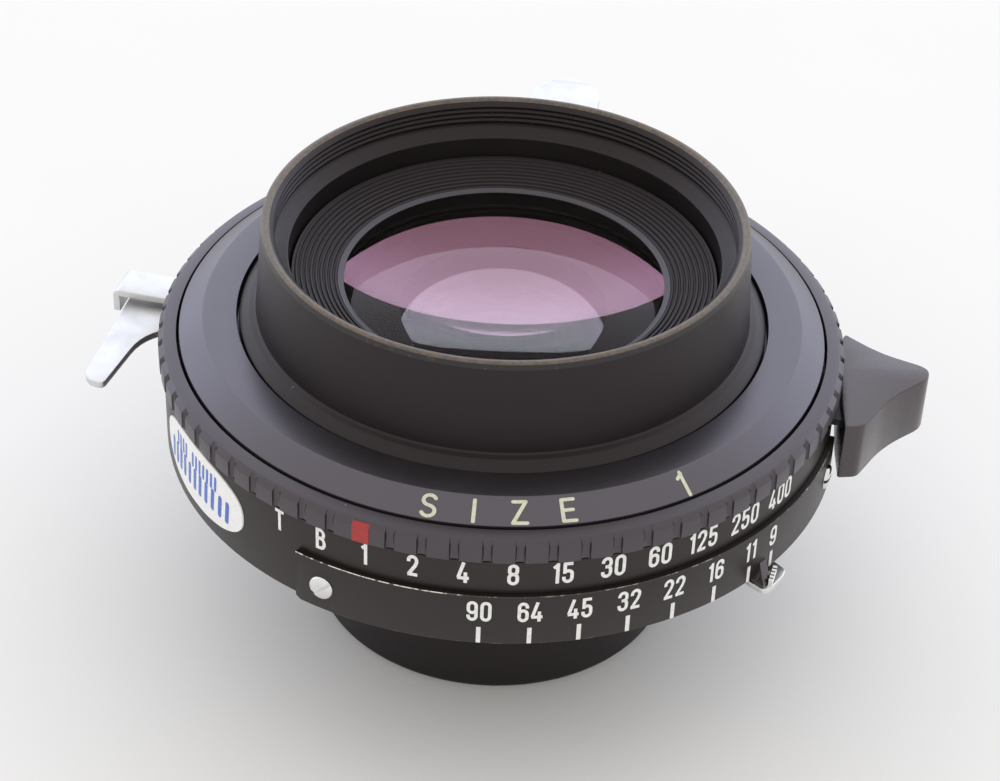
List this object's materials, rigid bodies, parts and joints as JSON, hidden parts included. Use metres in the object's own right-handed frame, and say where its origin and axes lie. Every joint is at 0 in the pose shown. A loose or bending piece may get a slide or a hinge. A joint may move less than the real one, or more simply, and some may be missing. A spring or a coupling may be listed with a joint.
{
  "type": "view camera lens",
  "caption": "Large-format lens in a leaf shutter: black barrel and cells, notched speed ring, aperture scale and chrome levers, standing on its rear barrel.",
  "frame": {"origin": "centre of the bounding box's bottom face, on the plane the rear barrel stands on; the optical axis is 1.11 mm to its -X side and 7.92 mm to its -Y side", "axes": "+Z along the optical axis towards the front of the lens; -Y towards the speed and aperture scales; +X towards the cocking grip"},
  "size_m": [0.0906, 0.0896, 0.048],
  "materials": {
    "aperture_lever": "bright chrome plate",
    "aperture_pointer": "black moulded plastic, matte",
    "aperture_scale_plate": "black paint, satin",
    "blade_plate": "blackened steel",
    "cable_release_bracket": "bright chrome plate",
    "cocking_grip": "black moulded plastic, matte",
    "cocking_lever": "bright chrome plate",
    "escape_wheel": "plain brass",
    "flash_sync_terminal": "bright chrome plate",
    "front_baffle_ring": "black anodised, satin",
    "front_barrel": "black anodised, satin",
    "front_cover": "black anodised, satin",
    "front_inner_element": "coated optical glass",
    "front_outer_element": "coated optical glass",
    "front_spacer_ring": "black anodised, satin",
    "iris_blade_1": "blackened steel",
    "iris_blade_2": "blackened steel",
    "iris_blade_3": "blackened steel",
    "iris_blade_4": "blackened steel",
    "iris_blade_5": "blackened steel",
    "iris_ring": "plain steel",
    "lens_board_ring": "black anodised, satin",
    "main_spring": "plain steel",
    "mechanism_plate": "blackened steel",
    "oval_label": "white vinyl",
    "press_focus_lever": "bright chrome plate",
    "press_focus_pin": "plain steel",
    "rear_barrel": "black anodised, satin",
    "rear_inner_element": "coated optical glass",
    "rear_outer_element": "coated optical glass",
    "rear_retaining_ring": "black anodised, satin",
    "rear_spacer_ring": "black anodised, satin",
    "release_lever": "bright chrome plate",
    "release_lever_pin": "plain steel",
    "retard_gear": "plain brass",
    "retard_pallet": "plain brass",
    "scale_screw_left": "bright chrome plate",
    "scale_screw_right": "bright chrome plate",
    "shutter_blade_1": "blackened steel",
    "shutter_blade_2": "blackened steel",
    "shutter_blade_3": "blackened steel",
    "shutter_blade_4": "blackened steel",
    "shutter_blade_5": "blackened steel",
    "shutter_case": "black anodised, satin",
    "shutter_drive_ring": "plain steel",
    "speed_cam_ring": "plain steel",
    "speed_ring": "black anodised, satin"
  },
  "bodies": {
    "housing": {"aperture_scale_plate": "aperture_scale_plate", "blade_plate": "blade_plate", "cable_release_bracket": "cable_release_bracket", "flash_sync_terminal": "flash_sync_terminal", "front_baffle_ring": "front_baffle_ring", "front_barrel": "front_barrel", "front_cover": "front_cover", "front_inner_element": "front_inner_element", "front_outer_element": "front_outer_element", "front_spacer_ring": "front_spacer_ring", "lens_board_ring": "lens_board_ring", "main_spring": "main_spring", "mechanism_plate": "mechanism_plate", "oval_label": "oval_label", "press_focus_pin": "press_focus_pin", "rear_barrel": "rear_barrel", "rear_inner_element": "rear_inner_element", "rear_outer_element": "rear_outer_element", "rear_retaining_ring": "rear_retaining_ring", "rear_spacer_ring": "rear_spacer_ring", "release_lever_pin": "release_lever_pin", "scale_screw_left": "scale_screw_left", "scale_screw_right": "scale_screw_right", "shutter_case": "shutter_case"},
    "speed_control": {"speed_ring": "speed_ring", "speed_cam_ring": "speed_cam_ring"},
    "aperture_control": {"aperture_lever": "aperture_lever", "aperture_pointer": "aperture_pointer", "iris_ring": "iris_ring"},
    "press_focus": {"press_focus_lever": "press_focus_lever"},
    "shutter_drive": {"shutter_drive_ring": "shutter_drive_ring"},
    "cocking": {"cocking_lever": "cocking_lever", "cocking_grip": "cocking_grip"},
    "release": {"release_lever": "release_lever"},
    "gear": {"retard_gear": "retard_gear"},
    "escape": {"escape_wheel": "escape_wheel"},
    "pallet": {"retard_pallet": "retard_pallet"},
    "iris_blade_1": {"iris_blade_1": "iris_blade_1"},
    "shutter_blade_1": {"shutter_blade_1": "shutter_blade_1"},
    "iris_blade_2": {"iris_blade_2": "iris_blade_2"},
    "shutter_blade_2": {"shutter_blade_2": "shutter_blade_2"},
    "iris_blade_3": {"iris_blade_3": "iris_blade_3"},
    "shutter_blade_3": {"shutter_blade_3": "shutter_blade_3"},
    "iris_blade_4": {"iris_blade_4": "iris_blade_4"},
    "shutter_blade_4": {"shutter_blade_4": "shutter_blade_4"},
    "iris_blade_5": {"iris_blade_5": "iris_blade_5"},
    "shutter_blade_5": {"shutter_blade_5": "shutter_blade_5"}
  },
  "joints": [
    {"name": "speed_ring_turn", "type": "hinge", "parent": "housing", "child": "speed_control", "pos_m": [-0.00111, -0.00792, 0.0336], "axis": [0, 0, 1], "range_deg": [-15, 72]},
    {"name": "aperture_turn", "type": "hinge", "parent": "housing", "child": "aperture_control", "pos_m": [-0.00111, -0.00792, 0.0235], "axis": [0, 0, 1], "range_deg": [-52.8, 0]},
    {"name": "press_focus_swing", "type": "hinge", "parent": "housing", "child": "press_focus", "pos_m": [0.00283, 0.02081, 0.03], "axis": [0, 0, 1], "range_deg": [-25, 0]},
    {"name": "cocking_swing", "type": "hinge", "parent": "housing", "child": "cocking", "pos_m": [-0.00111, -0.00792, 0.03], "axis": [0, 0, 1], "range_deg": [0, 38], "stiffness_Nm_per_rad": 0.02},
    {"name": "release_swing", "type": "hinge", "parent": "housing", "child": "release", "pos_m": [-0.03011, 0.00408, 0.03], "axis": [0, 0, 1], "range_deg": [0, 9], "stiffness_Nm_per_rad": 0.01},
    {"name": "drive_ring_turn", "type": "hinge", "parent": "housing", "child": "shutter_drive", "pos_m": [-0.00111, -0.00792, 0.02705], "axis": [0, 0, 1], "range_deg": [0, 15.2]},
    {"name": "iris_blade_1_turn", "type": "hinge", "parent": "housing", "child": "iris_blade_1", "pos_m": [0.0165, 0.01819, 0.02415], "axis": [0, 0, 1], "range_deg": [0, 27]},
    {"name": "iris_blade_2_turn", "type": "hinge", "parent": "housing", "child": "iris_blade_2", "pos_m": [-0.0205, 0.0169, 0.02455], "axis": [0, 0, 1], "range_deg": [0, 27]},
    {"name": "iris_blade_3_turn", "type": "hinge", "parent": "housing", "child": "iris_blade_3", "pos_m": [-0.03071, -0.01869, 0.02495], "axis": [0, 0, 1], "range_deg": [0, 27]},
    {"name": "iris_blade_4_turn", "type": "hinge", "parent": "housing", "child": "iris_blade_4", "pos_m": [-0.00001, -0.0394, 0.02535], "axis": [0, 0, 1], "range_deg": [0, 27]},
    {"name": "iris_blade_5_turn", "type": "hinge", "parent": "housing", "child": "iris_blade_5", "pos_m": [0.02917, -0.0166, 0.02575], "axis": [0, 0, 1], "range_deg": [0, 27]},
    {"name": "shutter_blade_1_turn", "type": "hinge", "parent": "housing", "child": "shutter_blade_1", "pos_m": [0.02849, 0.00285, 0.0276], "axis": [0, 0, 1], "range_deg": [0, 30.6]},
    {"name": "shutter_blade_2_turn", "type": "hinge", "parent": "housing", "child": "shutter_blade_2", "pos_m": [-0.00221, 0.02356, 0.028], "axis": [0, 0, 1], "range_deg": [0, 30.6]},
    {"name": "shutter_blade_3_turn", "type": "hinge", "parent": "housing", "child": "shutter_blade_3", "pos_m": [-0.03139, 0.00076, 0.0284], "axis": [0, 0, 1], "range_deg": [0, 30.6]},
    {"name": "shutter_blade_4_turn", "type": "hinge", "parent": "housing", "child": "shutter_blade_4", "pos_m": [-0.01872, -0.03404, 0.0288], "axis": [0, 0, 1], "range_deg": [0, 30.6]},
    {"name": "shutter_blade_5_turn", "type": "hinge", "parent": "housing", "child": "shutter_blade_5", "pos_m": [0.01828, -0.03274, 0.0292], "axis": [0, 0, 1], "range_deg": [0, 30.6]},
    {"name": "retard_gear_turn", "type": "hinge", "parent": "housing", "child": "gear", "pos_m": [0.00813, -0.03329, 0.0319], "axis": [0, 0, 1], "range_deg": [-76.2, 0]},
    {"name": "escape_wheel_turn", "type": "hinge", "parent": "housing", "child": "escape", "pos_m": [0.01449, -0.02996, 0.0319], "axis": [0, 0, 1], "range_deg": [0, 101.6]},
    {"name": "pallet_rock", "type": "hinge", "parent": "housing", "child": "pallet", "pos_m": [0.01985, -0.02588, 0.0319], "axis": [0, 0, 1], "range_deg": [0, 4]}
  ],
  "couplings": [
    {"joint": "drive_ring_turn", "follows": "press_focus_swing", "ratio": -0.6},
    {"joint": "iris_blade_1_turn", "follows": "aperture_turn", "ratio": -0.511},
    {"joint": "iris_blade_2_turn", "follows": "aperture_turn", "ratio": -0.511},
    {"joint": "iris_blade_3_turn", "follows": "aperture_turn", "ratio": -0.511},
    {"joint": "iris_blade_4_turn", "follows": "aperture_turn", "ratio": -0.511},
    {"joint": "iris_blade_5_turn", "follows": "aperture_turn", "ratio": -0.511},
    {"joint": "shutter_blade_1_turn", "follows": "press_focus_swing", "ratio": -1.22},
    {"joint": "shutter_blade_2_turn", "follows": "press_focus_swing", "ratio": -1.22},
    {"joint": "shutter_blade_3_turn", "follows": "press_focus_swing", "ratio": -1.22},
    {"joint": "shutter_blade_4_turn", "follows": "press_focus_swing", "ratio": -1.22},
    {"joint": "shutter_blade_5_turn", "follows": "press_focus_swing", "ratio": -1.22},
    {"joint": "retard_gear_turn", "follows": "cocking_swing", "ratio": -2},
    {"joint": "escape_wheel_turn", "follows": "cocking_swing", "ratio": 2.6667},
    {"joint": "pallet_rock", "follows": "cocking_swing", "ratio": 0.1}
  ]
}
